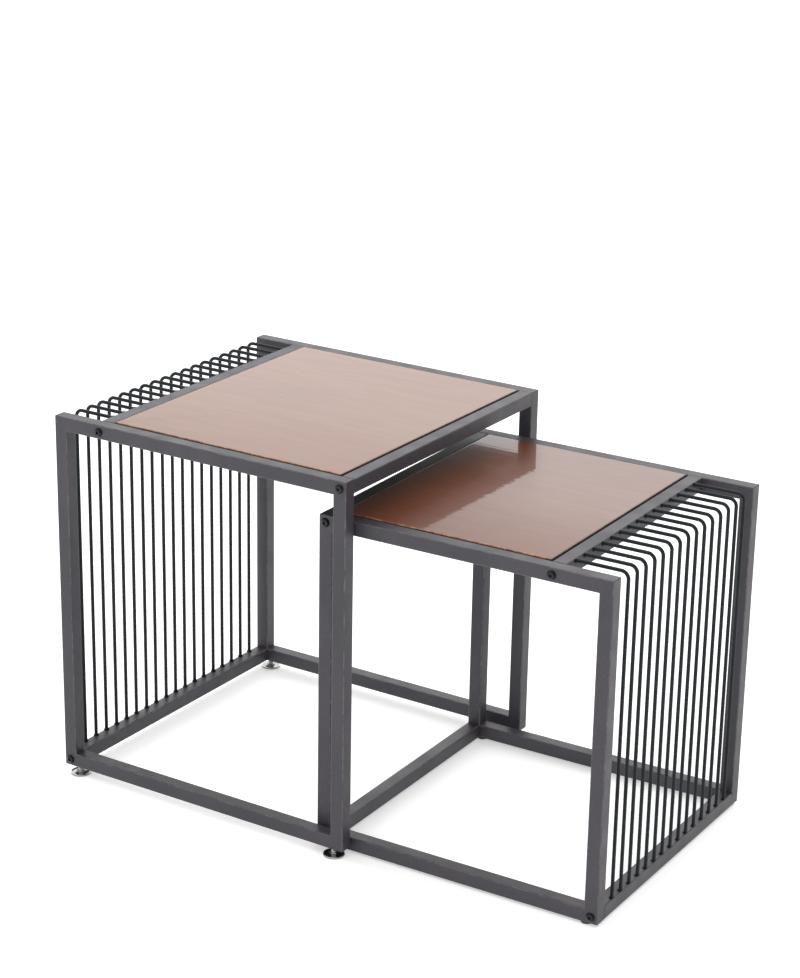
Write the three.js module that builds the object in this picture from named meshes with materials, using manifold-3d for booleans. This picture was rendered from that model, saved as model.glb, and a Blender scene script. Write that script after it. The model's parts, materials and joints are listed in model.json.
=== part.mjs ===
// Nesting tables: a large table and a smaller one that slides under it.
// Each table is two rectangular hoops of square steel tube joined by crossbars,
// with a wood top let in between them and a grille of bent wire rods on its closed side.
// Millimetres, +Z up, the floor at Z = 0. X runs along the hoops, Y from front to back.
// The origin is on the floor, under the middle of the pair as it stands here.

import * as THREE from 'three';
import { mergeVertices } from 'three/addons/utils/BufferGeometryUtils.js';
import Module from 'manifold-3d';

const wasm = await Module();
wasm.setup();

// Driving dimensions

const TUBE = 20; // side of the square tube
const WALL = 1.5; // its wall
const GAP = 0.3; // clearance kept where two pieces meet

// `grille` is the side of the wire grille, and `open` lists the plain crossbars opposite it.
const LARGE = {
  name: 'large', width: 480, depth: 490, bottom: 13, top: 539,
  grille: 'left', barInset: 67, rods: 18, open: ['top'],
};
const SMALL = {
  name: 'small', width: 428, depth: 430, bottom: 4, top: 478,
  grille: 'right', barInset: 76, rods: 15, open: ['top', 'bottom'],
};
// The small table's front left corner from the large one's, and its slight turn in radians.
const PULLED_OUT = { x: 422, y: 24.6, turn: THREE.MathUtils.degToRad(1.4) };

const ROD = { radius: 2.5, bend: 10, bendSteps: 4, weld: 0.8 };
const PANEL = { thickness: 16, proud: 1, gap: 1.5, corner: 2, ease: 0.6, pilotDepth: 11 };
const TAB = { length: 18, width: 30, thickness: 3, fromHoop: 60, screwInset: 9 };
const SCREW = { radius: 2, headRadius: 4, headHeight: 2.2, length: 13, hole: 2.3 };
const BOLT = { radius: 3, headRadius: 6.2, headHeight: 3.3, length: 28, hole: 3.3 };
const SOCKET = { radius: 2.3, depth: 2 };
const END_PLATE = 4; // thickness of the drilled plate in each end of a crossbar
const FOOT = {
  inset: 20, radius: 15, rim: 2.8, height: 5, bossRadius: 5.5,
  stemRadius: 4, stemTop: 25, hole: 4.3, nutRadius: 7.5, nutHeight: 6.5,
};
const GLIDE = { radius: 8, pinRadius: 3, pinLength: 7, hole: 3.3 };

const ROUND = 18; // sides of a visible round part
const BORE_SIDES = 12; // sides of a hole, shank or pin

// Finishes

function finish(color, roughness, metalness) {
  return new THREE.MeshStandardMaterial({ color, roughness, metalness });
}

const POWDER_COAT = finish(0x3a383d, 0.55, 0.3);
const WOOD = finish(0x8a5a3c, 0.25, 0);
const CHROME = finish(0xd8d8d6, 0.12, 1);
const STEEL = finish(0xb0b0ae, 0.35, 1);
const BLACK_STEEL = finish(0x232326, 0.4, 0.8);
const PLASTIC = finish(0x161616, 0.6, 0);

// Solids

// A closed solid from a three.js geometry.
function solid(geometry) {
  geometry.deleteAttribute('normal');
  geometry.deleteAttribute('uv');
  const merged = mergeVertices(geometry);
  return new wasm.Manifold(new wasm.Mesh({
    numProp: 3,
    vertProperties: new Float32Array(merged.attributes.position.array),
    triVerts: new Uint32Array(merged.index.array),
  }));
}

function meshOf(name, shape, material) {
  const data = shape.getMesh();
  const geometry = new THREE.BufferGeometry();
  geometry.setAttribute('position', new THREE.BufferAttribute(data.vertProperties, 3));
  geometry.setIndex(new THREE.BufferAttribute(data.triVerts, 1));
  const mesh = new THREE.Mesh(geometry, material);
  mesh.name = name;
  return mesh;
}

// A box from its lowest corner to its highest one.
function block(low, high) {
  const size = high.map((value, axis) => value - low[axis]);
  const middle = high.map((value, axis) => (value + low[axis]) / 2);
  return solid(new THREE.BoxGeometry(...size).translate(...middle));
}

// A turned solid about Z, from [radius, height] points that start and end on the axis.
function turned(profile, sides) {
  const points = profile.map(([radius, height]) => new THREE.Vector2(radius, height));
  return solid(new THREE.LatheGeometry(points, sides).rotateX(Math.PI / 2));
}

function cylinder(radius, from, to, sides) {
  return turned([[0, from], [radius, from], [radius, to], [0, to]], sides);
}

// A cylinder along Y through [x, z].
function crossPin(radius, [x, z], front, back, sides) {
  return cylinder(radius, front, back, sides).rotate([-90, 0, 0]).translate([x, 0, z]);
}

// Layout of one table

function barCentres(table) {
  const half = TUBE / 2;
  const mirrored = (x) => (table.grille === 'left' ? x : table.width - x);
  const heights = { top: table.top - half, bottom: table.bottom + half };
  return {
    inner: [mirrored(table.barInset + half), heights.top],
    grilleFoot: [mirrored(half), heights.bottom],
    open: table.open.map((level) => [mirrored(table.width - half), heights[level]]),
  };
}

// Every crossbar's middle, by the name that its bolts take.
function boltPlaces(table) {
  const bars = barCentres(table);
  const places = { inner: bars.inner, grille_foot: bars.grilleFoot };
  table.open.forEach((level, index) => {
    places[`open_${level}`] = bars.open[index];
  });
  return Object.entries(places);
}

function footPlaces(table) {
  const half = TUBE / 2;
  return [
    ['front_left', FOOT.inset, half],
    ['front_right', table.width - FOOT.inset, half],
    ['back_left', FOOT.inset, table.depth - half],
    ['back_right', table.width - FOOT.inset, table.depth - half],
  ];
}

// The panel's [left, right, front, back].
function panelEdges(table) {
  const byGrille = table.barInset + TUBE + PANEL.gap;
  const byOpen = table.width - TUBE - PANEL.gap;
  const sides = table.grille === 'left'
    ? [byGrille, byOpen]
    : [table.width - byOpen, table.width - byGrille];
  return [...sides, TUBE + PANEL.gap, table.depth - TUBE - PANEL.gap];
}

function panelUnderside(table) {
  return table.top + PANEL.proud - PANEL.thickness;
}

// The support tabs, each with the direction that it reaches in from its crossbar.
function tabPlaces(table) {
  const [left, right, front, back] = panelEdges(table);
  return [
    ['front_left', left, front + TAB.fromHoop, 1],
    ['front_right', right, front + TAB.fromHoop, -1],
    ['back_left', left, back - TAB.fromHoop, 1],
    ['back_right', right, back - TAB.fromHoop, -1],
  ];
}

// Frame

function inset([left, right, bottom, top], by) {
  return [left + by, right - by, bottom + by, top - by];
}

// A rectangular frame in XZ between two outlines, along Y from `front` to `back`.
function frame(outer, inner, front, back) {
  const corners = ([left, right, bottom, top]) => [
    new THREE.Vector2(left, bottom),
    new THREE.Vector2(right, bottom),
    new THREE.Vector2(right, top),
    new THREE.Vector2(left, top),
  ];
  const shape = new THREE.Shape(corners(outer));
  shape.holes.push(new THREE.Path(corners(inner)));
  const geometry = new THREE.ExtrudeGeometry(shape, { depth: back - front, bevelEnabled: false });
  return solid(geometry.rotateX(Math.PI / 2).translate(0, back, 0));
}

// One welded hoop of square tube, hollow inside, drilled for its bolts and its feet.
function hoop(table, front) {
  const back = front + TUBE;
  const outline = [0, table.width, table.bottom, table.top];
  const hollow = frame(inset(outline, WALL), inset(outline, TUBE - WALL), front + WALL, back - WALL);
  let shape = frame(outline, inset(outline, TUBE), front, back).subtract(hollow);
  for (const [, centre] of boltPlaces(table)) {
    shape = shape.subtract(crossPin(BOLT.hole, centre, front - 1, back + 1, BORE_SIDES));
  }
  const hole = table === LARGE ? FOOT.hole : GLIDE.hole;
  const drill = cylinder(hole, table.bottom - 1, table.bottom + WALL + 1, BORE_SIDES);
  for (const x of [FOOT.inset, table.width - FOOT.inset]) {
    shape = shape.subtract(drill.translate([x, front + TUBE / 2, 0]));
  }
  return shape;
}

// A crossbar of the same tube between the hoops, with a drilled plate welded in each end.
function crossbar(table, [x, z]) {
  const half = TUBE / 2;
  const front = TUBE + GAP;
  const back = table.depth - TUBE - GAP;
  const outside = block([x - half, front, z - half], [x + half, back, z + half]);
  const hollow = block(
    [x - half + WALL, front + END_PLATE, z - half + WALL],
    [x + half - WALL, back - END_PLATE, z + half - WALL],
  );
  const drill = crossPin(BOLT.hole, [x, z], front - 1, back + 1, BORE_SIDES);
  return outside.subtract(hollow).subtract(drill);
}

// Wire grille

// A rod's middle line, for a grille on the left: from the inner crossbar to the side,
// round the bend and down. The first and last steps are the straights. The rod is flush
// with the top of the frame and with its side.
class RodPath extends THREE.Curve {
  constructor(table) {
    super();
    this.steps = ROD.bendSteps + 2;
    this.acrossZ = table.top - ROD.radius;
    this.startX = table.barInset + ROD.weld;
    this.endZ = table.bottom + TUBE - ROD.weld;
  }

  getUtoTmapping(u) {
    return u;
  }

  getPoint(t) {
    const step = t * this.steps;
    const along = Math.min(Math.max(step - 1, 0), ROD.bendSteps) / ROD.bendSteps;
    const angle = along * Math.PI / 2;
    const x = ROD.radius + ROD.bend * (1 - Math.sin(angle));
    const z = this.acrossZ - ROD.bend * (1 - Math.cos(angle));
    const acrossLeft = Math.max(1 - step, 0);
    const downDone = Math.max(step - this.steps + 1, 0);
    return new THREE.Vector3(
      THREE.MathUtils.lerp(x, this.startX, acrossLeft),
      0,
      THREE.MathUtils.lerp(z, this.endZ, downDone),
    );
  }
}

function rod(table) {
  const path = new RodPath(table);
  const section = new THREE.Shape().absarc(0, 0, ROD.radius, 0, 2 * Math.PI);
  const settings = { steps: path.steps, extrudePath: path, curveSegments: 4 };
  const shape = solid(new THREE.ExtrudeGeometry(section, settings));
  return table.grille === 'left' ? shape : shape.mirror([1, 0, 0]).translate([table.width, 0, 0]);
}

// The inner top crossbar and the bottom one, with evenly spaced rods welded between them.
function grille(table) {
  const bars = barCentres(table);
  let shape = crossbar(table, bars.inner).add(crossbar(table, bars.grilleFoot));
  const pitch = (table.depth - 2 * TUBE) / (table.rods + 1);
  const one = rod(table);
  for (let index = 1; index <= table.rods; index += 1) {
    shape = shape.add(one.translate([0, TUBE + index * pitch, 0]));
  }
  return shape;
}

// Top

function panel(table) {
  const [left, right, front, back] = panelEdges(table).map((edge, index) => (
    index % 2 === 0 ? edge + PANEL.ease : edge - PANEL.ease
  ));
  const r = PANEL.corner;
  const outline = new THREE.Shape()
    .absarc(right - r, front + r, r, -Math.PI / 2, 0)
    .absarc(right - r, back - r, r, 0, Math.PI / 2)
    .absarc(left + r, back - r, r, Math.PI / 2, Math.PI)
    .absarc(left + r, front + r, r, Math.PI, 1.5 * Math.PI);
  const board = new THREE.ExtrudeGeometry(outline, {
    depth: PANEL.thickness - 2 * PANEL.ease,
    bevelThickness: PANEL.ease,
    bevelSize: PANEL.ease,
    bevelSegments: 1,
    curveSegments: 3,
  });
  const underside = panelUnderside(table);
  let shape = solid(board.translate(0, 0, underside + PANEL.ease));
  const pilot = cylinder(SCREW.hole, underside - 1, underside + PANEL.pilotDepth, BORE_SIDES);
  for (const [, x, y, inward] of tabPlaces(table)) {
    shape = shape.subtract(pilot.translate([x + inward * TAB.screwInset, y, 0]));
  }
  return shape;
}

// A flat tab on a crossbar's inner side, under the panel, drilled for its wood screw.
function tab(table, x, y, inward) {
  const top = panelUnderside(table) - GAP;
  const root = x - inward * (PANEL.gap - GAP);
  const tip = root + inward * TAB.length;
  const plate = block(
    [Math.min(root, tip), y - TAB.width / 2, top - TAB.thickness],
    [Math.max(root, tip), y + TAB.width / 2, top],
  );
  const drill = cylinder(SCREW.hole, top - TAB.thickness - 1, top + 1, BORE_SIDES);
  return plate.subtract(drill.translate([x + inward * TAB.screwInset, y, 0]));
}

function screw(table, x, y, inward) {
  const seat = panelUnderside(table) - 2 * GAP - TAB.thickness;
  const shape = turned([
    [0, seat - SCREW.headHeight],
    [SCREW.headRadius * 0.7, seat - SCREW.headHeight],
    [SCREW.headRadius, seat - SCREW.headHeight * 0.4],
    [SCREW.headRadius, seat],
    [SCREW.radius, seat],
    [SCREW.radius, seat + SCREW.length - SCREW.radius],
    [0, seat + SCREW.length],
  ], BORE_SIDES);
  return shape.translate([x + inward * TAB.screwInset, y, 0]);
}

// Fasteners and feet

// A button-head socket bolt, its head under Z = 0 and its shank up.
function bolt() {
  const { headRadius, headHeight, radius, length } = BOLT;
  const shape = turned([
    [0, -headHeight],
    [headRadius * 0.5, -headHeight],
    [headRadius * 0.82, -headHeight * 0.75],
    [headRadius, -headHeight * 0.25],
    [headRadius, 0],
    [radius, 0],
    [radius, length - 0.5],
    [radius - 0.5, length],
    [0, length],
  ], ROUND);
  const socket = cylinder(SOCKET.radius, -headHeight - 1, SOCKET.depth - headHeight, 6);
  return shape.subtract(socket);
}

function frontBolt([x, z]) {
  return bolt().rotate([-90, 0, 0]).translate([x, -GAP, z]);
}

function backBolt([x, z], depth) {
  return bolt().rotate([90, 0, 0]).translate([x, depth + GAP, z]);
}

// The dished disc of a levelling foot.
function footPad() {
  const { radius, rim, height, bossRadius } = FOOT;
  return turned([
    [0, 0],
    [radius - 0.8, 0],
    [radius, 0.8],
    [radius, rim - 0.6],
    [radius - 0.8, rim],
    [radius - 3.5, rim - 1.2],
    [bossRadius + 1.5, rim - 0.8],
    [bossRadius, height],
    [0, height],
  ], ROUND);
}

// Its threaded stem, up through the bottom rail and its nut.
function footStem() {
  return cylinder(FOOT.stemRadius, FOOT.height + GAP, FOOT.stemTop, BORE_SIDES);
}

function footNut() {
  const low = LARGE.bottom + WALL + GAP;
  const body = cylinder(FOOT.nutRadius, low, low + FOOT.nutHeight, 6);
  return body.subtract(cylinder(FOOT.hole, low - 1, low + FOOT.nutHeight + 1, BORE_SIDES));
}

// A low plastic glide with a pin that presses into the small table's bottom rail.
function glide() {
  const top = SMALL.bottom - GAP;
  return turned([
    [0, 0],
    [GLIDE.radius - 0.8, 0],
    [GLIDE.radius, 0.8],
    [GLIDE.radius, top],
    [GLIDE.pinRadius, top],
    [GLIDE.pinRadius, top + GLIDE.pinLength],
    [0, top + GLIDE.pinLength],
  ], ROUND);
}

// Assembly

function buildTable(table) {
  const group = new THREE.Group();
  const add = (label, shape, material) => {
    group.add(meshOf(`${table.name}_${label}`, shape, material));
  };
  add('front_hoop', hoop(table, 0), POWDER_COAT);
  add('back_hoop', hoop(table, table.depth - TUBE), POWDER_COAT);
  add('grille', grille(table), POWDER_COAT);
  barCentres(table).open.forEach((centre, index) => {
    add(`${table.open[index]}_crossbar`, crossbar(table, centre), POWDER_COAT);
  });
  add('panel', panel(table), WOOD);
  for (const [corner, x, y, inward] of tabPlaces(table)) {
    add(`tab_${corner}`, tab(table, x, y, inward), POWDER_COAT);
    add(`screw_${corner}`, screw(table, x, y, inward), STEEL);
  }
  for (const [place, centre] of boltPlaces(table)) {
    add(`bolt_front_${place}`, frontBolt(centre), BLACK_STEEL);
    add(`bolt_back_${place}`, backBolt(centre, table.depth), BLACK_STEEL);
  }
  return group;
}

const largeTable = buildTable(LARGE);
for (const [corner, x, y] of footPlaces(LARGE)) {
  const at = [x, y, 0];
  largeTable.add(meshOf(`foot_pad_${corner}`, footPad().translate(at), CHROME));
  largeTable.add(meshOf(`foot_stem_${corner}`, footStem().translate(at), STEEL));
  largeTable.add(meshOf(`foot_nut_${corner}`, footNut().translate(at), STEEL));
}

const smallTable = buildTable(SMALL);
for (const [corner, x, y] of footPlaces(SMALL)) {
  smallTable.add(meshOf(`glide_${corner}`, glide().translate([x, y, 0]), PLASTIC));
}
smallTable.position.set(PULLED_OUT.x, PULLED_OUT.y, 0);
smallTable.rotation.z = PULLED_OUT.turn;

const nestingTables = new THREE.Group();
nestingTables.add(largeTable, smallTable);
const overallWidth = PULLED_OUT.x + SMALL.width * Math.cos(PULLED_OUT.turn);
nestingTables.position.set(-overallWidth / 2, -LARGE.depth / 2, 0);

export default nestingTables;
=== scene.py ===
"""The looks of the nesting tables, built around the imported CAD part.

Metres, in the row frame: +Z up, +X from the large table towards the small one.
Each piece stands for the CAD node that it is named after and takes its place from that node's box.
"""

import json
import math
import random

import bmesh
import bpy
from mathutils import Matrix, Vector, noise


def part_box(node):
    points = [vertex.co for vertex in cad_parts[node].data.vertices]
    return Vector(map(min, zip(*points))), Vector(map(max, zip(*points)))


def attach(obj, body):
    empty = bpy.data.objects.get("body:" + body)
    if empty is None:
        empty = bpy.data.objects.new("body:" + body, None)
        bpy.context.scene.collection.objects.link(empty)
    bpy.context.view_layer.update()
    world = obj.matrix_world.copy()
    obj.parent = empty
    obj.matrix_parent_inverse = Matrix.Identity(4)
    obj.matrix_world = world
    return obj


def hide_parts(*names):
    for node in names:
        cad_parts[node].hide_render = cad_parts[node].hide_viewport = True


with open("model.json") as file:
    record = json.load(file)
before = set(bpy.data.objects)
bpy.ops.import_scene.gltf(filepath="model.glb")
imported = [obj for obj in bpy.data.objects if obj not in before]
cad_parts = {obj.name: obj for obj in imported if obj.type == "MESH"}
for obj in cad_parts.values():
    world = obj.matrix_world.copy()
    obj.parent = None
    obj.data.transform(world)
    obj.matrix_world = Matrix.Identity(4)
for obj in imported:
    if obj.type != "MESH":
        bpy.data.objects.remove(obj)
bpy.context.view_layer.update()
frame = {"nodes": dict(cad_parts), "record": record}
BODY_OF = {
    node: body
    for body, nodes in frame["record"]["behaviour"]["bodies"].items()
    for node in nodes
}
random.seed(7)

# Sizes

TUBE = 0.020
TUBE_ROUND = 0.0017  # the tube's own corner radius
MITRE_ROUND = 0.0012  # a hoop corner, ground after welding
WELD_WIDTH = 0.0022  # of the ground band at a mitre
CAD_GAP = 0.0003  # which the CAD part keeps where two pieces meet
SHOWN_GAP = 0.00012  # which shows in its place
CLOSED = CAD_GAP - SHOWN_GAP
BAR_EASE = 0.0003  # round the end of a crossbar
ROD_RADIUS = 0.0025
ROD_BEND = 0.010
ROD_SIDES = 16
ROD_IN_BAR = 0.0002  # how far a rod's line runs into its crossbars
ROD_WANDER = 0.0003  # how far a rod stands off its even place
ROD_LEAN = 0.0004  # how far its foot stands off its top
# (distance from the rod's end, radius) along its weld bead
WELD_BEAD = (
    (0.0, 0.0043),
    (0.0006, 0.0041),
    (0.0014, 0.0036),
    (0.0022, 0.0029),
    (0.0032, ROD_RADIUS),
)
GRILLES = {
    "large_grille": {"side": "left", "bar_inset": 0.067, "rods": 18},
    "small_grille": {"side": "right", "bar_inset": 0.076, "rods": 15},
}
SMALL_TURN = Matrix.Rotation(math.radians(1.4), 4, "Z")  # how the small table stands
PANEL_CORNER = 0.0022
PANEL_EASE = 0.0012
PANEL_INSET = 0.0005  # room for the panel's uneven sides
BOLT_HEAD = 0.0033  # its height
STEM_DROP = 0.0002  # how much nearer to its pad a stem starts than the CAD part's
CORNERS = ("front_left", "front_right", "back_left", "back_right")


# Materials


class Nodes:
    """A node tree, and short ways to add to it."""

    def __init__(self, tree, place):
        self.tree = tree
        self.place = self.add("ShaderNodeTexCoord").outputs[place]

    def add(self, kind, inputs=None, **settings):
        node = self.tree.nodes.new(kind)
        for label, value in settings.items():
            setattr(node, label, value)
        for socket, value in (inputs or {}).items():
            if isinstance(value, bpy.types.NodeSocket):
                self.tree.links.new(value, node.inputs[socket])
            else:
                node.inputs[socket].default_value = value
        return node

    def stretched(self, scale):
        """The object's coordinates, scaled along each axis."""
        return self.add("ShaderNodeMapping", {"Vector": self.place, "Scale": scale}).outputs[0]

    def noise(self, scale, detail=3.0, rough=0.5, place=None, distortion=0.0):
        return self.add(
            "ShaderNodeTexNoise",
            {
                "Vector": place or self.place,
                "Scale": scale,
                "Detail": detail,
                "Roughness": rough,
                "Distortion": distortion,
            },
        ).outputs[0]

    def attribute(self, name):
        return self.add("ShaderNodeAttribute", attribute_name=name).outputs["Fac"]

    def math(self, operation, a, b=0.0):
        return self.add("ShaderNodeMath", {0: a, 1: b}, operation=operation).outputs[0]

    def ranged(self, value, low, high, to_low, to_high):
        return self.add(
            "ShaderNodeMapRange",
            {"Value": value, "From Min": low, "From Max": high, "To Min": to_low, "To Max": to_high},
        ).outputs[0]

    def mix(self, factor, a, b):
        a = a if isinstance(a, bpy.types.NodeSocket) else (*a, 1.0)
        b = b if isinstance(b, bpy.types.NodeSocket) else (*b, 1.0)
        return self.add("ShaderNodeMix", {0: factor, 6: a, 7: b}, data_type="RGBA").outputs[2]

    def bump(self, height, strength, distance, normal=None):
        inputs = {"Height": height, "Strength": strength, "Distance": distance}
        if normal is not None:
            inputs["Normal"] = normal
        return self.add("ShaderNodeBump", inputs).outputs[0]


class Look(Nodes):
    """A Principled material."""

    def __init__(self, name, sockets):
        self.material = bpy.data.materials.new(name)
        self.material.use_nodes = True
        super().__init__(self.material.node_tree, "Object")
        self.shader = self.tree.nodes["Principled BSDF"]
        for label, value in sockets.items():
            self.shader.inputs[label].default_value = value

    def feed(self, socket, value):
        self.tree.links.new(value, self.shader.inputs[socket])


def painted(name, dark, light, worn, rough, shine):
    """Powder coat: cloudy tone, a fine pebbled skin, edges that wear paler, and near-black weld
    beads (end) as painted shade where rods meet their crossbars.
    """
    look = Look(name, {"IOR": 1.5, "Specular IOR Level": shine})
    cloud = look.noise(7.0, 4.0)
    tone = look.mix(look.ranged(cloud, 0.35, 0.65, 0.0, 1.0), dark, light)
    specks = look.ranged(look.noise(420.0, 2.0), 0.62, 0.72, 0.0, 0.25)
    tone = look.mix(specks, tone, worn)
    patches = look.ranged(look.noise(60.0, 4.0, 0.7), 0.42, 0.62, 0.15, 0.8)
    edge = look.math("MULTIPLY", look.attribute("edge"), patches)
    tone = look.mix(edge, tone, worn)
    # painted shade: the weld beads (end) go near-black, standing in for the shadow where each rod
    # meets its crossbar
    tone = look.mix(look.attribute("end"), tone, (0.002, 0.002, 0.002))
    look.feed("Base Color", tone)
    look.feed("Roughness", look.ranged(look.noise(30.0, 3.0), 0.3, 0.7, rough - 0.06, rough + 0.06))
    pebbles = look.bump(look.noise(700.0, 2.0), 0.12, 0.0004)
    waves = look.bump(look.noise(45.0, 2.0), 0.10, 0.0010, pebbles)
    look.feed("Normal", look.bump(look.attribute("weld"), 0.35, 0.0005, waves))
    return look.material


def lacquered_wood(name, shade_scale, gloss_front, gloss_back):
    """Reddish-brown veneer with its grain along X, under a clear lacquer that thins to the front.
    Its colours are scaled by a share, darker and redder for the small table as painted shade; its
    eased front edge carries a patchy painted highlight, and its X-facing sides a painted line of
    gap shadow.
    """
    dark, light, figured, streak = (
        [channel * share for channel, share in zip(colour, shade_scale)]
        for colour in (
            (0.178, 0.060, 0.024),
            (0.225, 0.084, 0.038),
            (0.115, 0.038, 0.015),
            (0.240, 0.105, 0.050),
        )
    )
    look = Look(
        name, {"Coat Roughness": 0.03, "Coat IOR": 1.5, "IOR": 1.45, "Specular IOR Level": 0.25}
    )
    drift = look.noise(2.6, 3.0, place=look.stretched((0.8, 2.0, 2.0)))
    figure = look.noise(7.0, 5.0, 0.6, look.stretched((0.6, 4.5, 4.5)), 0.9)
    grain = look.noise(60.0, 4.0, 0.6, look.stretched((0.25, 9.0, 9.0)))
    pores = look.noise(240.0, 2.0, 0.6, look.stretched((0.10, 6.0, 6.0)))
    tone = look.mix(look.ranged(drift, 0.3, 0.7, 0.0, 1.0), dark, light)
    tone = look.mix(look.ranged(figure, 0.40, 0.70, 0.0, 0.22), tone, figured)
    tone = look.mix(look.ranged(grain, 0.42, 0.70, 0.0, 0.10), tone, streak)
    tone = look.mix(look.ranged(pores, 0.60, 0.72, 0.0, 0.30), tone, (0.045, 0.018, 0.010))
    # painted highlight along the front lip, patchy, turning to a dark line of painted gap shadow on
    # the X-facing sides (end)
    ragged = look.ranged(look.noise(180.0, 3.0), 0.35, 0.6, 0.35, 1.0)
    edge = look.math("MULTIPLY", look.attribute("edge"), ragged)
    patchy_highlight = look.ranged(look.noise(70.0, 4.0, 0.7), 0.40, 0.60, 0.0, 1.0)
    lit = look.mix(patchy_highlight, (0.130, 0.050, 0.022), (0.40, 0.200, 0.090))
    lip_light_and_shade = look.mix(look.attribute("end"), lit, (0.030, 0.014, 0.009))
    tone = look.mix(edge, tone, lip_light_and_shade)
    tone = look.mix(look.attribute("under"), tone, (0.026, 0.015, 0.009))
    look.feed("Base Color", tone)
    sanded = look.math("MULTIPLY", look.attribute("under"), 0.4)
    look.feed("Roughness", look.math("ADD", look.ranged(grain, 0.3, 0.7, 0.34, 0.46), sanded))
    look.feed("Normal", look.bump(pores, 0.15, 0.0004))
    along = look.add("ShaderNodeSeparateXYZ", {"Vector": look.place}).outputs["Y"]
    blotch = look.ranged(look.noise(6.0, 3.0), 0.3, 0.7, -0.03, 0.03)
    back = look.math("ADD", along, blotch)
    gloss = look.ranged(back, -0.22, 0.02, gloss_front, gloss_back)
    above = look.math("SUBTRACT", 1.0, look.attribute("under"))
    look.feed("Coat Weight", look.math("MULTIPLY", gloss, above))
    ripple = look.noise(34.0, 0.5, 0.5, look.stretched((0.10, 4.5, 4.5)))
    look.feed("Coat Normal", look.bump(ripple, 0.11, 0.0010))
    return look.material


def metal(name, dark, light, rough, scale, bump, metallic=1.0):
    """Smudged metal, or a metallic coat, with a painted highlight along its marked edges."""
    look = Look(name, {"Metallic": metallic})
    smudge = look.noise(scale, 4.0, 0.6)
    tone = look.mix(look.ranged(smudge, 0.3, 0.7, 0.0, 1.0), dark, light)
    # painted highlight: the marked edges are mixed toward a paler tone
    painted_highlight = [min(channel * 1.5 + 0.05, 1.0) for channel in light]
    tone = look.mix(look.math("MULTIPLY", look.attribute("edge"), 0.6), tone, painted_highlight)
    look.feed("Base Color", tone)
    look.feed("Roughness", look.ranged(smudge, 0.3, 0.7, rough * 0.7, rough * 1.4))
    look.feed("Normal", look.bump(look.noise(scale * 18.0, 2.0), bump, 0.0003))
    return look.material


def moulded_plastic(name):
    look = Look(name, {"IOR": 1.46})
    tone = look.mix(look.noise(90.0, 3.0), (0.008, 0.008, 0.009), (0.018, 0.018, 0.019))
    look.feed("Base Color", tone)
    look.feed("Roughness", look.ranged(look.noise(200.0), 0.3, 0.7, 0.45, 0.62))
    look.feed("Normal", look.bump(look.noise(1500.0, 2.0), 0.2, 0.0003))
    return look.material


COAT = painted(
    "powder_coat", (0.033, 0.031, 0.041), (0.045, 0.041, 0.053), (0.125, 0.120, 0.122), 0.46, 0.42
)
ROD_COAT = painted(
    "rod_coat", (0.004, 0.008, 0.011), (0.009, 0.014, 0.018), (0.030, 0.038, 0.042), 0.50, 0.22
)
# the small table's walnut is a darker, redder copy of the large one's: painted shade from the large
# table above it
WOOD = {
    "large": lacquered_wood("walnut_large", (1.0, 1.0, 1.0), 0.50, 0.62),
    "small": lacquered_wood("walnut_small", (0.74, 0.58, 0.50), 0.34, 0.68),
}
CHROME = metal("chrome", (0.24, 0.24, 0.23), (0.40, 0.40, 0.39), 0.14, 60.0, 0.04)
ZINC = metal("zinc_plate", (0.48, 0.48, 0.47), (0.66, 0.66, 0.63), 0.28, 120.0, 0.12)
BLACK = metal("black_oxide", (0.006, 0.006, 0.009), (0.013, 0.013, 0.018), 0.22, 160.0, 0.12, 0.8)
PLASTIC = moulded_plastic("glide_plastic")


# Mesh building


def box(node):
    """A node's lowest and highest corner. The small table's are along its own sides."""
    if BODY_OF[node] != "small_table":
        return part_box(node)
    unturned = SMALL_TURN.inverted()
    points = [unturned @ vert.co for vert in frame["nodes"][node].data.vertices]
    low = Vector(min(point[axis] for point in points) for axis in range(3))
    high = Vector(max(point[axis] for point in points) for axis in range(3))
    return low, high


def new_mesh():
    """A mesh whose points carry the attributes that the materials read.

    edge: worn paler on the powder coat, a painted highlight on the wood, the chrome rim and the
    bolt domes; weld: raised by a weld; end: a weld bead, painted near-black as shade where a rod
    meets its crossbar, or a panel's side that faces along X, whose edge is painted as gap shadow
    instead of highlight; under: a panel's sides and underside.
    """
    bm = bmesh.new()
    for name in ("edge", "weld", "end", "under"):
        bm.verts.layers.float.new(name)
    return bm


def mark(verts, bm, **values):
    """Sets point attributes by name."""
    for name, value in values.items():
        layer = bm.verts.layers.float[name]
        for vert in verts:
            vert[layer] = value


def skin(bm, rings, loop=False):
    """Joins equal rings of points, round into a loop or with each end closed to its middle."""
    rows = [[bm.verts.new(point) for point in ring] for ring in rings]
    pairs = list(zip(rows, rows[1:]))
    if loop:
        pairs.append((rows[-1], rows[0]))
    for one, other in pairs:
        for index in range(len(one)):
            after = (index + 1) % len(one)
            bm.faces.new((one[index], one[after], other[after], other[index]))
    for row in [] if loop else [rows[0], rows[-1]]:
        low = Vector(min(vert.co[axis] for vert in row) for axis in range(3))
        high = Vector(max(vert.co[axis] for vert in row) for axis in range(3))
        middle = bm.verts.new((low + high) / 2)
        for index in range(len(row)):
            bm.faces.new((row[index], row[(index + 1) % len(row)], middle))
    return rows


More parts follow.
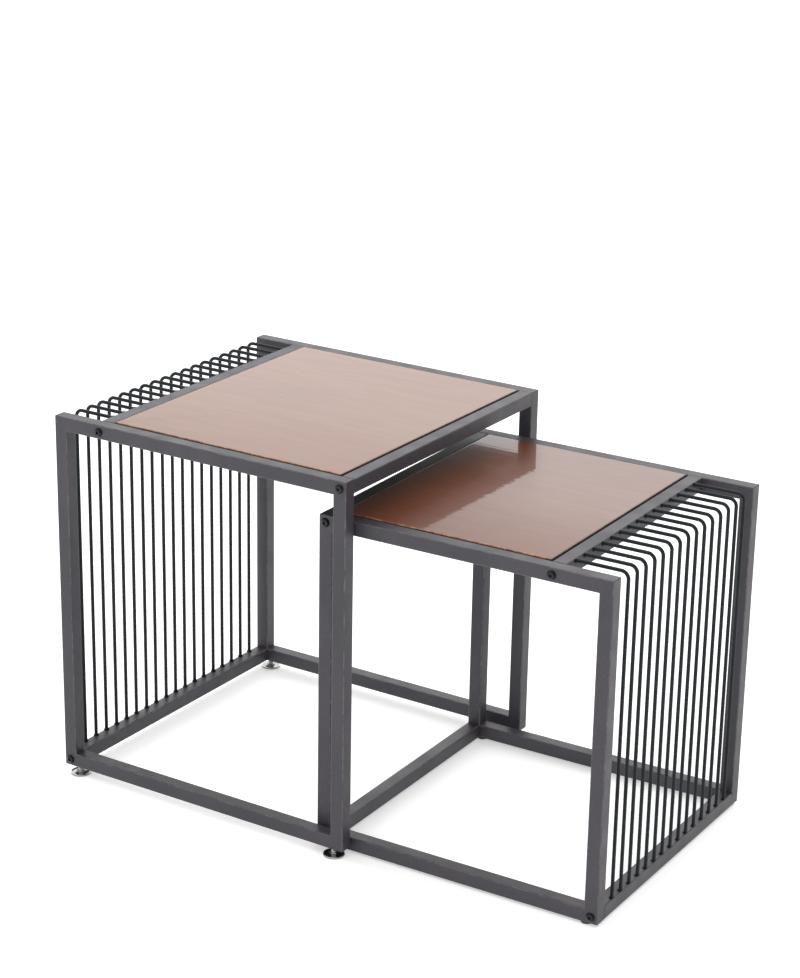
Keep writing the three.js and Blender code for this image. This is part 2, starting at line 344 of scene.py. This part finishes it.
def piece(bm, node, look, part="", sharp=34.0):
    """Makes the mesh a piece that stands for its CAD node and rides on that node's body."""
    bmesh.ops.remove_doubles(bm, verts=bm.verts, dist=2e-6)
    bmesh.ops.recalc_face_normals(bm, faces=bm.faces)
    if BODY_OF[node] == "small_table":
        bm.transform(SMALL_TURN)
    limit = math.radians(sharp)
    for face in bm.faces:
        face.smooth = True
    for edge in bm.edges:
        edge.smooth = len(edge.link_faces) == 2 and edge.calc_face_angle() < limit
    mesh = bpy.data.meshes.new(node + part + "_look")
    bm.to_mesh(mesh)
    bm.free()
    mesh.materials.append(look)
    obj = bpy.data.objects.new(mesh.name, mesh)
    bpy.context.scene.collection.objects.link(obj)
    weighted = obj.modifiers.new("even_shading", "WEIGHTED_NORMAL")
    weighted.keep_sharp = True
    weighted.weight = 80
    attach(obj, BODY_OF[node])
    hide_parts(node)


def rounded_section(half, radius, steps=4):
    """(u, v, on_edge) points round a square tube's section."""
    points = []
    for quarter in range(4):
        across = half - radius if quarter in (0, 3) else radius - half
        along = half - radius if quarter in (0, 1) else radius - half
        for step in range(steps + 1):
            angle = (quarter + step / steps) * math.pi / 2
            u = across + radius * math.cos(angle)
            v = along + radius * math.sin(angle)
            points.append((u, v, 0 < step < steps))
    return points


SECTION = rounded_section(TUBE / 2, TUBE_ROUND)


def build_hoop(node):
    """Four mitred lengths of tube welded into a rectangle, its outer corners ground round."""
    low, high = box(node)
    middle = (low + high) / 2
    reach = (high - low) / 2
    half = TUBE / 2
    rings, welds = [], []
    steps = 4
    for quarter in range(4):
        side_x = 1 if quarter in (0, 3) else -1
        side_z = 1 if quarter in (0, 1) else -1
        corner = []
        for step in range(steps + 1):
            angle = (quarter + step / steps) * math.pi / 2
            ring = []
            for u, v, _ in SECTION:
                radius = max(MITRE_ROUND - (half - u), 0.0)
                x = side_x * (reach.x - half + u - radius) + radius * math.cos(angle)
                z = side_z * (reach.z - half + u - radius) + radius * math.sin(angle)
                ring.append(middle + Vector((x, v, z)))
            corner.append(ring)
        ahead = Matrix.Rotation(-quarter * math.pi / 2, 3, "Y") @ Vector((-1, 0, 0))
        behind = Matrix.Rotation(-quarter * math.pi / 2, 3, "Y") @ Vector((0, 0, -1))
        before = [point + behind * WELD_WIDTH for point in corner[0]]
        after = [point + ahead * WELD_WIDTH for point in corner[-1]]
        rings += [before, *corner, after]
        welds += [False, *[True] * len(corner), False]
    bm = new_mesh()
    for row, weld in zip(skin(bm, rings, loop=True), welds):
        mark(row, bm, weld=float(weld))
        mark([vert for vert, point in zip(row, SECTION) if point[2]], bm, edge=1.0)
    piece(bm, node, COAT)


def add_bar(bm, x, z, front, back):
    """A crossbar's length of tube along Y, its ends eased."""
    stations = (
        (front, BAR_EASE),
        (front + BAR_EASE, 0),
        (back - BAR_EASE, 0),
        (back, BAR_EASE),
    )
    rings = []
    for y, shrink in stations:
        scale = 1 - shrink / (TUBE / 2)
        rings.append([Vector((x + u * scale, y, z + v * scale)) for u, v, _ in SECTION])
    rows = skin(bm, rings)
    for row in rows[1:3]:
        mark([vert for vert, point in zip(row, SECTION) if point[2]], bm, edge=1.0)
    mark(rows[0] + rows[3], bm, edge=0.6)


def build_crossbar(node):
    """A bolted crossbar, longer than the CAD part's so that it nearly meets its hoops."""
    low, high = box(node)
    bm = new_mesh()
    add_bar(bm, (low.x + high.x) / 2, (low.z + high.z) / 2, low.y - CLOSED, high.y + CLOSED)
    piece(bm, node, COAT)


def rod_line(start, side, bend_z, end_z, inward):
    """(point, tangent) along a rod's middle: across, round the bend and down."""
    line = [(Vector((start, 0, bend_z)), Vector((-inward, 0, 0)))]
    centre = Vector((side + inward * ROD_BEND, 0, bend_z - ROD_BEND))
    steps = 9
    for step in range(steps + 1):
        angle = step / steps * math.pi / 2
        out = Vector((-inward * math.sin(angle), 0, math.cos(angle)))
        ahead = Vector((-inward * math.cos(angle), 0, -math.sin(angle)))
        line.append((centre + out * ROD_BEND, ahead))
    line.append((Vector((side, 0, end_z)), Vector((0, 0, -1))))
    return line


def add_rod(bm, line, y):
    """One bent rod with a weld bead at each end."""
    lean = random.uniform(-ROD_LEAN, ROD_LEAN)
    (start, first), (end, last) = line[0], line[-1]
    outward = first.x
    stations = [(start + first * along, first, radius) for along, radius in WELD_BEAD]
    stations += [(point, tangent, ROD_RADIUS) for point, tangent in line[1:-1]]
    stations += [(end - last * along, last, radius) for along, radius in reversed(WELD_BEAD)]
    top, bottom = start.z, end.z
    rings = []
    for point, tangent, radius in stations:
        across = tangent.cross(Vector((0, 1, 0)))
        shift = y + lean * (top - point.z) / (top - bottom)
        ring = []
        for index in range(ROD_SIDES):
            angle = 2 * math.pi * index / ROD_SIDES
            out = across * math.cos(angle) + Vector((0, 1, 0)) * math.sin(angle)
            spot = Vector((point.x, shift, point.z))
            lumps = noise.noise((spot + out * 0.003) * 900) * (radius - ROD_RADIUS) * 0.5
            spot += out * (radius + lumps)
            # the beads are ground level with the frame's top and side
            spot.z = min(spot.z, start.z + ROD_RADIUS)
            reach = (spot.x - end.x) * outward
            spot.x += (min(reach, ROD_RADIUS) - reach) * outward
            ring.append(spot)
        rings.append(ring)
    rows = skin(bm, rings)
    beads = len(WELD_BEAD) - 1
    # the weld beads are marked to go near-black: painted shade where the rod meets its crossbar
    for row in rows[:beads] + rows[-beads:]:
        mark(row, bm, end=1.0)


def build_grille(node):
    """The wire grille's two crossbars, and the rods welded between them."""
    spec = GRILLES[node]
    low, high = box(node)
    half = TUBE / 2
    left = spec["side"] == "left"
    inward = 1 if left else -1
    side = low.x if left else high.x
    inner_x = side + inward * (spec["bar_inset"] + half)
    front, back = low.y - CLOSED, high.y + CLOSED
    bars = new_mesh()
    add_bar(bars, inner_x, high.z - half, front, back)
    add_bar(bars, side + inward * half, low.z + half, front, back)
    piece(bars, node, COAT, "_bars")
    rods = new_mesh()
    line = rod_line(
        side + inward * (spec["bar_inset"] + ROD_IN_BAR),
        side + inward * ROD_RADIUS,
        high.z - ROD_RADIUS,
        low.z + TUBE - ROD_IN_BAR,
        inward,
    )
    hoop_face = low.y - CAD_GAP
    pitch = (high.y - low.y + 2 * CAD_GAP) / (spec["rods"] + 1)
    for index in range(1, spec["rods"] + 1):
        add_rod(rods, line, hoop_face + index * pitch + random.uniform(-ROD_WANDER, ROD_WANDER))
    piece(rods, node, ROD_COAT, "_rods", 60.0)


def panel_outline(low, high, inset):
    """(point, outward) round the panel, that far in from its box, with rounded corners."""
    radius = max(PANEL_CORNER - inset, 0.0)
    middle = max(PANEL_CORNER, inset)
    corners = (
        (high.x - middle, low.y + middle, -0.5),
        (high.x - middle, high.y - middle, 0.0),
        (low.x + middle, high.y - middle, 0.5),
        (low.x + middle, low.y + middle, 1.0),
    )
    outline = []
    for number, (x, y, turn) in enumerate(corners):
        for step in range(6):
            angle = (turn + step / 10) * math.pi
            out = Vector((math.cos(angle), math.sin(angle), 0))
            outline.append((Vector((x, y, 0)) + out * radius, out))
        next_x, next_y, _ = corners[(number + 1) % 4]
        begin, out = outline[-1]
        end = Vector((next_x, next_y, 0)) + out * radius
        count = 90
        for step in range(1, count):
            outline.append((begin.lerp(end, step / count), out))
    return outline


def build_panel(node):
    """The wood top: rounded corners, eased edges and slightly uneven sides."""
    low, high = box(node)
    ease = PANEL_EASE
    profile = [
        (ease, low.z, 0.0),
        (0.0, low.z + ease, 0.5),
        (0.0, high.z - ease * 1.5, 0.0),
        (0.0, high.z - ease, 1.0),
        (ease * 0.13, high.z - ease * 0.5, 1.0),
        (ease * 0.5, high.z - ease * 0.13, 1.0),
        (ease, high.z, 1.0),
        (ease + 0.0010, high.z, 0.5),
        (ease + 0.0022, high.z, 0.0),
        (ease + 0.0060, high.z, 0.0),
    ]
    bm = new_mesh()
    rings = []
    for inset, z, _ in profile:
        ring = []
        for point, out in panel_outline(low, high, inset + PANEL_INSET):
            uneven = noise.noise(Vector((point.x, point.y, 0)) * 95) * 0.0003
            uneven += noise.noise(Vector((point.x, point.y, 3)) * 420) * 0.0002
            spot = point - out * uneven * (z > low.z + ease)
            ring.append(Vector((spot.x, spot.y, z)))
        rings.append(ring)
    sides = [out for _, out in panel_outline(low, high, 0.0)]
    # the top edge's marks: a painted highlight along the front and a painted line of gap shadow
    # along the X-facing sides (end); the back gets none
    for row, (_, _, edge) in zip(skin(bm, rings), profile):
        for vert, out in zip(row, sides):
            mark([vert], bm, edge=edge * (out.y < 0.5), end=abs(out.x))
    mark([vert for vert in bm.verts if vert.co.z < high.z - 1.4 * ease], bm, under=1.0)
    piece(bm, node, WOOD[node.split("_")[0]], sharp=50.0)


def round_ring(radius, height, sides):
    """A circle of points at a height."""
    return [
        Vector((radius * math.cos(a), radius * math.sin(a), height))
        for a in (2 * math.pi * index / sides for index in range(sides))
    ]


def hex_ring(flat_radius, height, sides):
    """A hexagon, with as many points as the round rings it joins."""
    ring = []
    for index in range(sides):
        angle = 2 * math.pi * index / sides
        turn = (angle + math.pi / 6) % (math.pi / 3) - math.pi / 6
        radius = flat_radius / math.cos(turn)
        ring.append(Vector((radius * math.cos(angle), radius * math.sin(angle), height)))
    return ring


def cross_ring(arm, width, height, sides):
    """A cross recess's outline, with as many points as the round rings it joins."""
    ring = []
    for index in range(sides):
        angle = 2 * math.pi * index / sides
        turn = (angle + math.pi / 4) % (math.pi / 2) - math.pi / 4
        radius = min(arm, width / max(abs(math.sin(turn)), 1e-6))
        ring.append(Vector((radius * math.cos(angle), radius * math.sin(angle), height)))
    return ring


def build_bolt(node):
    """A button-head bolt with a hexagon socket, its head outside the hoop and its shank in it."""
    low, high = box(node)
    middle = (low + high) / 2
    outward = -1 if "front" in node else 1
    seat = (low.y + BOLT_HEAD) if outward < 0 else (high.y - BOLT_HEAD)
    sides = 36
    turned = random.uniform(0, math.pi / 3)
    rings = [
        round_ring(0.0029, -0.024, sides),
        round_ring(0.0029, 0.0, sides),
        round_ring(0.0060, 0.0, sides),
        round_ring(0.0062, 0.0002, sides),
        round_ring(0.0062, 0.0007, sides),
        round_ring(0.0059, 0.0013, sides),
        round_ring(0.0053, 0.0020, sides),
        round_ring(0.0045, 0.0026, sides),
        round_ring(0.0036, 0.0031, sides),
        round_ring(0.0031, BOLT_HEAD, sides),
        hex_ring(0.0024, 0.0032, sides),
        hex_ring(0.0022, 0.0029, sides),
        hex_ring(0.0022, 0.0013, sides),
        round_ring(0.0006, 0.0009, sides),
    ]
    spin = Matrix.Rotation(turned, 3, "Z")
    up = Matrix.Rotation(math.pi / 2 if outward < 0 else -math.pi / 2, 3, "X")
    origin = Vector((middle.x, seat - outward * CLOSED, middle.z))
    bm = new_mesh()
    rows = skin(bm, [[origin + up @ spin @ point for point in ring] for ring in rings])
    # painted highlight: the inner dome rows are marked to draw a lighter crescent
    mark(rows[8] + rows[9] + rows[10], bm, edge=0.7)
    piece(bm, node, BLACK, sharp=40.0)


def build_screw(node):
    """A pan-head wood screw with a cross recess, its thread up in the panel."""
    low, high = box(node)
    middle = (low + high) / 2
    sides = 48
    rings = [
        cross_ring(0.0004, 0.0002, 0.0019, sides),
        cross_ring(0.0019, 0.00045, 0.0012, sides),
        cross_ring(0.0023, 0.0006, 0.0001, sides),
        round_ring(0.0027, 0.0, sides),
        round_ring(0.0034, 0.0003, sides),
        round_ring(0.0039, 0.0010, sides),
        round_ring(0.0040, 0.0016, sides),
        round_ring(0.0040, 0.0022, sides),
        round_ring(0.0019, 0.0023, sides),
    ]
    for turn in range(16):
        height = 0.0030 + turn * 0.0006
        rings.append(round_ring(0.0019 if turn % 2 == 0 else 0.0014, height, sides))
    rings.append(round_ring(0.0002, high.z - low.z - 0.0002, sides))
    origin = Vector((middle.x, middle.y, low.z))
    bm = new_mesh()
    skin(bm, [[origin + point for point in ring] for ring in rings])
    piece(bm, node, ZINC)


def build_tab(node):
    """A flat steel tab with rounded corners, welded to its crossbar along the inner edge."""
    low, high = box(node)
    bm = new_mesh()
    bmesh.ops.create_cube(bm, size=1.0)
    size = high - low
    middle = (low + high) / 2
    for vert in bm.verts:
        vert.co = Vector((vert.co.x * size.x, vert.co.y * size.y, vert.co.z * size.z)) + middle
    upright = [e for e in bm.edges if abs(e.verts[0].co.z - e.verts[1].co.z) > size.z / 2]
    bmesh.ops.bevel(bm, geom=upright, offset=0.003, segments=5, affect="EDGES", profile=0.5)
    rim = [e for e in bm.edges if abs(e.verts[0].co.z - e.verts[1].co.z) < 1e-6]
    rim = [e for e in rim if len({round(f.normal.z, 3) for f in e.link_faces}) == 2]
    bmesh.ops.bevel(bm, geom=rim, offset=0.0004, segments=2, affect="EDGES", profile=0.5)
    piece(bm, node, COAT)


def build_foot_pad(node):
    """A chromed disc with a raised rim, a dished top and a hexagon boss."""
    low, high = box(node)
    middle = (low + high) / 2
    sides = 72
    profile = [
        (0.0130, 0.0), (0.0142, 0.0), (0.0148, 0.0003), (0.0150, 0.0008), (0.0150, 0.0020),
        (0.0148, 0.0025), (0.0144, 0.0028), (0.0139, 0.0028), (0.0134, 0.0025), (0.0127, 0.0020),
        (0.0117, 0.0017), (0.0100, 0.0016), (0.0083, 0.0018), (0.0071, 0.0022),
    ]
    rings = [round_ring(0.0020, 0.0004, sides), round_ring(0.0115, 0.0004, sides)]
    rings += [round_ring(radius, height, sides) for radius, height in profile]
    rings += [
        hex_ring(0.0054, 0.0024, sides),
        hex_ring(0.0054, 0.0044, sides),
        hex_ring(0.0050, 0.0049, sides),
        round_ring(0.0046, 0.0050, sides),
        round_ring(0.0010, 0.0050, sides),
    ]
    origin = Vector((middle.x, middle.y, low.z))
    bm = new_mesh()
    rows = skin(bm, [[origin + point for point in ring] for ring in rings])
    # painted highlight: the top of the rim is marked to draw a bright line
    mark(rows[8] + rows[9] + rows[10], bm, edge=1.0)
    piece(bm, node, CHROME)


def build_foot_stem(node):
    """The foot's stem with its 1.25 mm pitch thread."""
    low, high = box(node)
    middle = (low + high) / 2
    sides, pitch, step = 32, 0.00125, 0.00125 / 6
    height = high.z - low.z + STEM_DROP
    rings = []
    for number in range(int(height / step) + 1):
        z = number * step
        fade = min(1.0, z / pitch, (height - z) / pitch)
        ring = []
        for index in range(sides):
            share = (z / pitch - index / sides) % 1.0
            crest = abs(share - 0.5) * 2
            radius = 0.0040 - 0.00062 * crest * fade - 0.0004 * (1 - fade)
            angle = 2 * math.pi * index / sides
            ring.append(
                Vector((radius * math.cos(angle), radius * math.sin(angle), z - STEM_DROP))
            )
        rings.append(ring)
    origin = Vector((middle.x, middle.y, low.z))
    bm = new_mesh()
    skin(bm, [[origin + point for point in ring] for ring in rings])
    piece(bm, node, ZINC, sharp=60.0)


def build_glide(node):
    """A low plastic glide with a rounded rim, its pin up in the rail."""
    low, high = box(node)
    middle = (low + high) / 2
    profile = [
        (0.0066, 0.0), (0.0074, 0.0003), (0.0079, 0.0009), (0.0080, 0.0016), (0.0080, 0.0030),
        (0.0079, 0.0034), (0.0075, 0.0037), (0.0030, 0.0038), (0.0030, high.z - low.z - 0.0004),
        (0.0026, high.z - low.z),
    ]
    origin = Vector((middle.x, middle.y, low.z))
    bm = new_mesh()
    skin(bm, [[origin + point for point in round_ring(r, z, 48)] for r, z in profile])
    piece(bm, node, PLASTIC)


# The two tables

for table in ("large", "small"):
    for side in ("front", "back"):
        build_hoop(f"{table}_{side}_hoop")
    build_grille(f"{table}_grille")
    build_panel(f"{table}_panel")
    for corner in CORNERS:
        build_tab(f"{table}_tab_{corner}")
        build_screw(f"{table}_screw_{corner}")

for node in sorted(frame["nodes"]):
    if node.endswith("_crossbar"):
        build_crossbar(node)
    elif "_bolt_" in node:
        build_bolt(node)
    elif node.startswith("foot_pad"):
        build_foot_pad(node)
    elif node.startswith("foot_stem"):
        build_foot_stem(node)
    elif node.startswith("glide"):
        build_glide(node)
    elif node.startswith("foot_nut"):
        shown = frame["nodes"][node]
        shown.data.materials.clear()
        shown.data.materials.append(ZINC)


# Studio


def build_floor():
    """White paper under the tables, lit a little from within like an overexposed sweep."""
    bm = new_mesh()
    bmesh.ops.create_circle(bm, cap_ends=True, segments=96, radius=60.0)
    mesh = bpy.data.meshes.new("floor")
    bm.to_mesh(mesh)
    bm.free()
    sockets = {"Roughness": 0.85, "Specular IOR Level": 0.2, "Emission Strength": 0.42}
    look = Look("floor_paper", {**sockets, "Emission Color": (1.0, 1.0, 1.0, 1.0)})
    tone = look.mix(look.noise(1.5, 3.0), (0.90, 0.90, 0.90), (0.92, 0.92, 0.92))
    look.feed("Base Color", tone)
    look.feed("Normal", look.bump(look.noise(300.0), 0.03, 0.0005))
    mesh.materials.append(look.material)
    floor = bpy.data.objects.new("floor", mesh)
    bpy.context.scene.collection.objects.link(floor)


def light_studio():
    """A plain white studio: light all round, strongest overhead and towards the back left."""
    world = bpy.data.worlds.new("studio")
    world.use_nodes = True
    bpy.context.scene.world = world
    sky = Nodes(world.node_tree, "Generated")
    strength = 0.78
    # (towards, cosine where its glow begins, cosine where it is full, radiance)
    lights = (
        ((-0.56, 0.75, 0.34), 0.45, 0.97, 1.10),
        ((0.0, 0.0, 1.0), 0.25, 1.0, 0.50),
        ((-0.60, -0.75, 0.30), 0.20, 1.0, 0.26),
        ((1.0, 0.15, 0.10), 0.10, 1.0, -0.25),
    )
    for towards, begins, full, radiance in lights:
        facing = sky.add(
            "ShaderNodeVectorMath", {0: sky.place, 1: Vector(towards).normalized()},
            operation="DOT_PRODUCT",
        ).outputs["Value"]
        glow = sky.add(
            "ShaderNodeMapRange",
            {"Value": facing, "From Min": begins, "From Max": full, "To Max": radiance},
            interpolation_type="SMOOTHSTEP",
        ).outputs[0]
        strength = sky.math("ADD", glow, strength)
    background = world.node_tree.nodes["Background"]
    background.inputs["Color"].default_value = (1.0, 0.995, 0.985, 1.0)
    world.node_tree.links.new(strength, background.inputs["Strength"])
    bpy.context.scene.view_settings.view_transform = "Standard"


def place_camera():
    """Stands the camera where a perspective fit to the photograph's edges put it."""
    spot = Vector((1.76298, -2.80086, 1.62381))
    yaw, pitch, roll = math.radians(33.64), math.radians(20.831), math.radians(0.64)
    right = Vector((math.cos(yaw), math.sin(yaw), 0))
    ahead = Vector(
        (-math.sin(yaw) * math.cos(pitch), math.cos(yaw) * math.cos(pitch), -math.sin(pitch))
    )
    up = right.cross(ahead)
    rolled_right = right * math.cos(roll) + up * math.sin(roll)
    rolled_up = up * math.cos(roll) - right * math.sin(roll)
    data = bpy.data.cameras.new("camera")
    data.sensor_width = 36.0
    data.lens = 94.518
    data.shift_x = 0.0511
    data.shift_y = 0.0579
    camera = bpy.data.objects.new("camera", data)
    bpy.context.scene.collection.objects.link(camera)
    turn = Matrix((rolled_right, rolled_up, -ahead)).transposed().to_4x4()
    camera.matrix_world = Matrix.Translation(spot) @ turn
    bpy.context.scene.camera = camera


build_floor()
light_studio()
place_camera()
